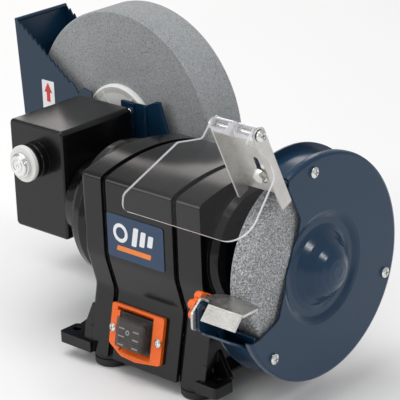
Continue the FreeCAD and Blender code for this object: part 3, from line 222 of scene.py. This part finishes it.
# moulded plastic, rubber, card and print
def makePlastic(name, colour, roughness, grainScale=700, strength=0.08, softEdge=0.0003):
    material, tree, shader = startMaterial(name, colour, roughness)
    place = objectPlace(tree)
    cloud = noise(tree, place, plastic["cloudScale"], 3)
    grain = noise(tree, place, grainScale, 2)
    darker = tuple(c * plastic["cloudDarker"] for c in colour)
    tint = ramp(tree, cloud, [(0.3, darker), (0.7, colour)])
    tree.links.new(tint, shader.inputs["Base Color"])
    tree.links.new(remap(tree, grain, 0.3, 0.7, roughness - 0.05, roughness + 0.07),
                   shader.inputs["Roughness"])
    bump(tree, shader, grain, strength, plastic["grainDepth"], softEdge)
    return material


# the edge colour and its alpha are the painted highlight on the shield's cut edges and sleeves
clear = {"pane": (0.12, 0.12, 0.125), "paneAlpha": 0.07, "edge": (0.86, 0.86, 0.9),
         "highlightAlpha": 0.8, "smoke": (0.09, 0.085, 0.08), "smokeAlpha": 0.42,
         "slope": math.radians(43), "scratchScale": 90, "hazeScale": 120}


# clear sheet; its cut edges and sleeves get a painted highlight, near-white and nearly opaque
def makeClearPane():
    material, tree, shader = startMaterial("clearPane", clear["pane"], 0.06)
    coords = tree.nodes.new("ShaderNodeTexCoord")
    across = tree.nodes.new("ShaderNodeVectorMath")
    across.operation = "DOT_PRODUCT"
    across.inputs[1].default_value = (0, -math.cos(clear["slope"]), math.sin(clear["slope"]))
    tree.links.new(coords.outputs["Normal"], across.inputs[0])
    size = tree.nodes.new("ShaderNodeMath")
    size.operation = "ABSOLUTE"
    tree.links.new(across.outputs["Value"], size.inputs[0])
    # faces turned away from the sheet's face get the painted highlight
    edge = remap(tree, size.outputs["Value"], 0.97, 0.7, 0, 1)
    scratches = noise(tree, objectPlace(tree, (1, 9, 9)), clear["scratchScale"], 4, 0.7)
    tree.links.new(blendColours(tree, edge, clear["pane"], clear["edge"]),
                   shader.inputs["Base Color"])
    tree.links.new(remap(tree, edge, 0, 1, clear["paneAlpha"], clear["highlightAlpha"]),
                   shader.inputs["Alpha"])
    tree.links.new(remap(tree, scratches, 0.3, 0.7, 0.03, 0.12), shader.inputs["Roughness"])
    return material


def makeSmokedPane():
    material, tree, shader = startMaterial("smokedPane", clear["smoke"], 0.15)
    place = objectPlace(tree)
    haze = noise(tree, place, clear["hazeScale"], 3)
    thin, thick = clear["smokeAlpha"] - 0.04, clear["smokeAlpha"] + 0.05
    tree.links.new(remap(tree, haze, 0.3, 0.7, 0.12, 0.24), shader.inputs["Roughness"])
    tree.links.new(remap(tree, haze, 0.3, 0.7, thin, thick), shader.inputs["Alpha"])
    bump(tree, shader, haze, 0.05, 0.0003, 0.0005)
    return material


winding = {"colour": (0.45, 0.17, 0.06), "dark": (0.2, 0.07, 0.02), "light": (0.55, 0.22, 0.09),
           "turns": 260, "waver": 1.5, "depth": 0.0005}


def makeWindingCopper():
    material, tree, shader = startMaterial("windingCopper", winding["colour"], 0.35, metallic=0.8)
    place = objectPlace(tree)
    wave = tree.nodes.new("ShaderNodeTexWave")
    wave.wave_type = "RINGS"
    wave.rings_direction = "X"
    wave.inputs["Scale"].default_value = winding["turns"]
    wave.inputs["Distortion"].default_value = winding["waver"]
    tree.links.new(place, wave.inputs["Vector"])
    tree.links.new(ramp(tree, wave.outputs["Fac"], [(0, winding["dark"]), (1, winding["light"])]),
                   shader.inputs["Base Color"])
    bump(tree, shader, wave.outputs["Fac"], 0.6, winding["depth"])
    return material


finishes = {
    "housing_black": makeEnamel("glossBlackEnamel", enamel["blackColour"],
                                enamel["blackRoughness"]),
    "case_black": makeEnamel("caseBlackEnamel", enamel["caseColour"], enamel["caseRoughness"],
                             0.1, 0.0006),
    "guard_blue": makeEnamel("navyEnamel", enamel["blueColour"], enamel["blueRoughness"],
                             0.1, 0.0005),
    "trough_blue": makeEnamel("troughEnamel", enamel["troughColour"], enamel["troughRoughness"],
                              0.16, 0.0002, 0.15),
    "zinc_steel": makeSteel("zincSteel", (0.66, 0.65, 0.62), 0.3),
    "bright_screw": makeSteel("brightScrew", (0.86, 0.86, 0.84), 0.2, (1, 1, 1), 0.1),
    "rubber_black": makePlastic("blackRubber", (0.012, 0.012, 0.012), 0.62, 900, 0.2),
    "base_grey": makeEnamel("basePaint", (0.012, 0.012, 0.012), 0.5),
    "iron_core": makeSteel("laminatedIron", (0.3, 0.3, 0.31), 0.45, (60, 1, 1), 0.6),
    "copper_wire": makeWindingCopper(),
    "bearing_steel": makeSteel("bearingSteel", (0.75, 0.75, 0.76), 0.15, (1, 1, 1), 0.05),
    "shaft_steel": makeSteel("turnedSteel", (0.62, 0.62, 0.61), 0.28, (60, 1, 1), 0.3),
    "capacitor_grey": makePlastic("capacitorShell", (0.6, 0.6, 0.56), 0.4),
    "orange_plastic": makePlastic("orangePlastic", (0.92, 0.14, 0.004), 0.3, 600, 0.08),
    "switch_black": makePlastic("switchBlack", (0.012, 0.011, 0.011), 0.42),
    "clear_smoked": makeSmokedPane(),
    "clear_shield": makeClearPane(),
    "label_blue": makePlastic("labelBlue", (0.01, 0.042, 0.105), 0.38, 1500, 0.03, 0),
    "label_white": makePlastic("labelWhite", (0.82, 0.82, 0.83), 0.45, 1500, 0.02, 0),
    "bronze_bush": makeSteel("sinteredBronze", (0.5, 0.33, 0.15), 0.5, (1, 1, 1), 0.4),
    "worm_wheel_bronze": makeSteel("gearBronze", (0.55, 0.37, 0.16), 0.35, (1, 1, 1), 0.2),
    "dry_stone": makeDryStone(),
    "wet_stone": makeWetStone(),
    "white_nylon": makePlastic("whiteNylon", (0.78, 0.78, 0.76), 0.42, 500, 0.05, 0.0005),
    "paper_card": makePlastic("blotterCard", (0.35, 0.3, 0.2), 0.9, 900, 0.3, 0),
    "fan_plastic": makePlastic("fanPlastic", (0.05, 0.05, 0.05), 0.5),
}
slotOf = {entry["node"]: entry["material_slot"] for entry in frame["record"]["subparts"]}
for name, node in nodes.items():
    for place in node.material_slots:
        place.material = finishes[slotOf[name]]
print("stage: finishes on CAD nodes")


ringSides, roundSteps = 40, 4


def deselectAll():
    if bpy.context.object and bpy.context.object.mode != "OBJECT":
        bpy.ops.object.mode_set(mode="OBJECT")
    bpy.ops.object.select_all(action="DESELECT")


# put the place into the mesh, name the piece and let it ride
def settle(piece, name, body, material):
    bpy.ops.object.mode_set(mode="OBJECT")
    bpy.ops.object.transform_apply(location=True, rotation=True, scale=True)
    piece.name = name
    piece.data.name = name
    piece.data.materials.clear()
    piece.data.materials.append(material)
    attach(piece, body)
    return piece


def joinAs(parts):
    deselectAll()
    for part in parts:
        part.select_set(True)
    bpy.context.view_layer.objects.active = parts[0]
    if len(parts) > 1:
        bpy.ops.object.join()
    return parts[0]


# thin rounded bar facing the front; slant leans it like italics
def addBar(x, y, z, wide, tall, thick, rounding, slant=0.0, tilt=0.0):
    deselectAll()
    bpy.ops.mesh.primitive_plane_add(size=1, location=(0, 0, 0))
    bar = bpy.context.object
    bpy.ops.object.mode_set(mode="EDIT")
    bpy.ops.transform.resize(value=(wide, tall, 1))
    bpy.ops.mesh.bevel(offset=rounding, segments=roundSteps, affect="VERTICES")
    bpy.ops.mesh.extrude_region_move(TRANSFORM_OT_translate={"value": (0, 0, thick)})
    bpy.ops.mesh.select_all(action="SELECT")
    bpy.ops.mesh.normals_make_consistent(inside=False)
    bpy.ops.object.mode_set(mode="OBJECT")
    lean = Matrix(((1, slant, 0, 0), (0, 1, 0, 0), (0, 0, 1, 0), (0, 0, 0, 1)))
    upright = Matrix.Translation((x, y, z)) @ Matrix.Rotation(math.radians(90 + tilt), 4, "X")
    bar.data.transform(upright @ lean)
    return bar


# thin flat ring facing the front
def addRing(x, y, z, outer, inner, thick, tilt=0.0):
    deselectAll()
    bpy.ops.mesh.primitive_circle_add(vertices=ringSides, radius=outer, fill_type="NGON",
                                      location=(0, 0, 0))
    ring = bpy.context.object
    bpy.ops.object.mode_set(mode="EDIT")
    bpy.ops.mesh.select_all(action="SELECT")
    bpy.ops.mesh.inset(thickness=outer - inner)
    bpy.ops.mesh.delete(type="FACE")
    bpy.ops.mesh.select_all(action="SELECT")
    bpy.ops.mesh.extrude_region_move(TRANSFORM_OT_translate={"value": (0, 0, thick)})
    bpy.ops.mesh.select_all(action="SELECT")
    bpy.ops.mesh.normals_make_consistent(inside=False)
    bpy.ops.object.mode_set(mode="OBJECT")
    upright = Matrix.Translation((x, y, z)) @ Matrix.Rotation(math.radians(90 + tilt), 4, "X")
    ring.data.transform(upright)
    return ring


printGrain, printStrength = 1500, 0.02


def makePrint(name, colour, roughness):
    return makePlastic(name, colour, roughness, printGrain, printStrength, 0)


# places are shares of the plate; sizes are in metres
namePlate = {"thick": 0.00012, "lift": 0.00004, "markWhite": (0.85, 0.86, 0.88),
             "stripe": (0.9, 0.24, 0.03), "bars": 3, "ringPlace": 0.24, "markHeight": 0.6,
             "ringOuter": 0.0078, "ringInner": 0.0048, "barPlace": 0.5, "barStep": 0.135,
             "barWide": 0.0052, "barTall": 0.0156, "barShorter": 0.003, "barRound": 0.001,
             "barSlant": 0.2, "stripePlace": 0.47, "stripeHeight": 0.24, "stripeWide": 0.036,
             "stripeTall": 0.0042, "stripeRound": 0.0006, "stripeSlant": 0.3}
low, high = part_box("name_plate")
frontY = low.y - namePlate["lift"]
wide, tall = high.x - low.x, high.z - low.z
printWhite = makePrint("printWhite", namePlate["markWhite"], 0.45)
printOrange = makePrint("printOrange", namePlate["stripe"], 0.42)
markZ = low.z + tall * namePlate["markHeight"]
marks = [addRing(low.x + wide * namePlate["ringPlace"], frontY, markZ, namePlate["ringOuter"],
                 namePlate["ringInner"], namePlate["thick"])]
for k in range(namePlate["bars"]):
    barX = low.x + wide * (namePlate["barPlace"] + namePlate["barStep"] * k)
    barTall = namePlate["barTall"] - namePlate["barShorter"] * k
    marks.append(addBar(barX, frontY, markZ, namePlate["barWide"], barTall, namePlate["thick"],
                        namePlate["barRound"], namePlate["barSlant"]))
settle(joinAs(marks), "name_plate_mark", "housing", printWhite)
stripe = addBar(low.x + wide * namePlate["stripePlace"], frontY,
                low.z + tall * namePlate["stripeHeight"], namePlate["stripeWide"],
                namePlate["stripeTall"], namePlate["thick"], namePlate["stripeRound"],
                namePlate["stripeSlant"])
settle(stripe, "name_plate_stripe", "housing", printOrange)

arrow = {"red": (0.62, 0.02, 0.02), "thick": 0.0001, "headTall": 0.0085, "headWide": 0.0095,
         "stemWide": 0.0042, "stemTall": 0.0085, "stemRound": 0.0002, "lift": 0.00004,
         "headUp": 0.0185, "stemUp": 0.0115}
low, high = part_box("direction_label")
deselectAll()
bpy.ops.mesh.primitive_circle_add(vertices=3, radius=1, fill_type="NGON", location=(0, 0, 0))
head = bpy.context.object
# a three-sided circle of radius 1 is root 3 wide and 1.5 tall
head.data.transform(Matrix.Diagonal((arrow["headWide"] / 1.732, arrow["headTall"] / 1.5, 1, 1)))
bpy.ops.object.mode_set(mode="EDIT")
bpy.ops.mesh.select_all(action="SELECT")
bpy.ops.mesh.extrude_region_move(TRANSFORM_OT_translate={"value": (0, 0, arrow["thick"])})
bpy.ops.mesh.select_all(action="SELECT")
bpy.ops.mesh.normals_make_consistent(inside=False)
bpy.ops.object.mode_set(mode="OBJECT")
middleX = (low.x + high.x) / 2
arrowY = low.y - arrow["lift"]
upright = Matrix.Rotation(math.radians(90), 4, "X")
head.data.transform(Matrix.Translation((middleX, arrowY, low.z + arrow["headUp"])) @ upright)
stem = addBar(middleX, arrowY, low.z + arrow["stemUp"], arrow["stemWide"], arrow["stemTall"],
              arrow["thick"], arrow["stemRound"])
printRed = makePrint("printRed", arrow["red"], 0.45)
settle(joinAs([head, stem]), "direction_arrow", "housing", printRed)

cover = {"lean": 11.8, "barWide": 0.0062, "barTall": 0.0011, "barRound": 0.0003, "thick": 0.0001,
         "columns": (-0.0075, 0.0078), "rows": (0.0058, -0.0005, -0.0072), "middle": 0.47,
         "ring": 0.0021, "ringLeft": 0.0012, "ringUp": 0.0035, "lift": 0.00006,
         "white": (0.7, 0.69, 0.67)}
low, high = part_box("switch_cover")
middleX = (low.x + high.x) / 2
slope = math.tan(math.radians(cover["lean"]))
coverZ = low.z + (high.z - low.z) * cover["middle"]


# the cover's front leans, so its face moves back with height
def coverY(z):
    return low.y - cover["lift"] + (z - low.z) * slope


ringZ = coverZ + cover["ringUp"]
coverMarks = [addRing(middleX - cover["ringLeft"], coverY(ringZ), ringZ, cover["ring"],
                      cover["ring"] * 0.5, cover["thick"], -cover["lean"])]
for across in cover["columns"]:
    for up in cover["rows"]:
        z = coverZ + up
        coverMarks.append(addBar(middleX + across, coverY(z), z, cover["barWide"], cover["barTall"],
                                 cover["thick"], cover["barRound"], 0, -cover["lean"]))
printGrey = makePrint("coverPrint", cover["white"], 0.5)
settle(joinAs(coverMarks), "switch_cover_marks", "housing", printGrey)
print("stage: printed marks")


studio = {"floorColour": (0.88, 0.88, 0.885), "floorSize": 9, "skyColour": (1, 1, 1),
          "skyGlow": 0.5, "aim": (0, 0, 0.12),
          "top": {"place": (-0.3, -0.5, 2.3), "size": 1.9, "power": 33, "colour": (1, 1, 1)},
          "back": {"place": (-1.25, 1.15, 0.85), "size": 0.75, "power": 3.6,
                   "colour": (1, 0.95, 0.91)},
          "right": {"place": (1.75, 0.05, 1.25), "size": 0.3, "power": 7, "colour": (1, 1, 1)},
          "front": {"place": (-1.1, -1.7, 0.9), "size": 1.0, "power": 9, "colour": (1, 0.98, 0.96)}}
deselectAll()
bpy.ops.mesh.primitive_plane_add(size=studio["floorSize"], location=(0, 0, 0))
floor = bpy.context.object
floor.name = "studioFloor"
floorPaint, floorTree, floorShader = startMaterial("paleFloor", studio["floorColour"], 0.85)
floorTone = noise(floorTree, objectPlace(floorTree), 3, 2)
floorDarker = tuple(c * 0.985 for c in studio["floorColour"])
floorShade = ramp(floorTree, floorTone, [(0.3, floorDarker), (0.7, studio["floorColour"])])
floorTree.links.new(floorShade, floorShader.inputs["Base Color"])
floor.data.materials.append(floorPaint)

world = bpy.data.worlds.new("softStudio")
bpy.context.scene.world = world
world.use_nodes = True
sky = world.node_tree
background = sky.nodes["Background"]
background.inputs["Color"].default_value = (*studio["skyColour"], 1)
path = sky.nodes.new("ShaderNodeLightPath")
glow = remap(sky, path.outputs["Is Camera Ray"], 0, 1, studio["skyGlow"], 1)
sky.links.new(glow, background.inputs["Strength"])


def addSoftbox(name, settings):
    lamp = bpy.data.lights.new(name, "AREA")
    lamp.shape = "SQUARE"
    lamp.size = settings["size"]
    lamp.energy = settings["power"]
    lamp.color = settings["colour"]
    holder = bpy.data.objects.new(name, lamp)
    bpy.context.scene.collection.objects.link(holder)
    holder.location = settings["place"]
    aim = Vector(studio["aim"]) - Vector(settings["place"])
    holder.rotation_euler = aim.to_track_quat("-Z", "Y").to_euler()


for name in ("top", "back", "right", "front"):
    addSoftbox(name + "Softbox", studio[name])

# the camera stands off from the middle of the wet wheel
view = {"from": (1.1411, -1.1309, 0.5394), "turn": 43.52, "down": 20.89, "roll": -2.19,
        "lens": 180, "sensor": 36, "farthest": 50}
camera = bpy.data.objects.new("shotCamera", bpy.data.cameras.new("shotCamera"))
bpy.context.scene.collection.objects.link(camera)
camera.data.lens = view["lens"]
camera.data.sensor_width = view["sensor"]
camera.data.clip_end = view["farthest"]
low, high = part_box("wet_wheel")
camera.matrix_world = (Matrix.Translation((low + high) / 2 + Vector(view["from"]))
                       @ Matrix.Rotation(math.radians(view["turn"]), 4, "Z")
                       @ Matrix.Rotation(math.radians(90 - view["down"]), 4, "X")
                       @ Matrix.Rotation(math.radians(view["roll"]), 4, "Z"))
bpy.context.scene.camera = camera
bpy.context.scene.view_settings.view_transform = "Standard"
print("stage: studio and camera")
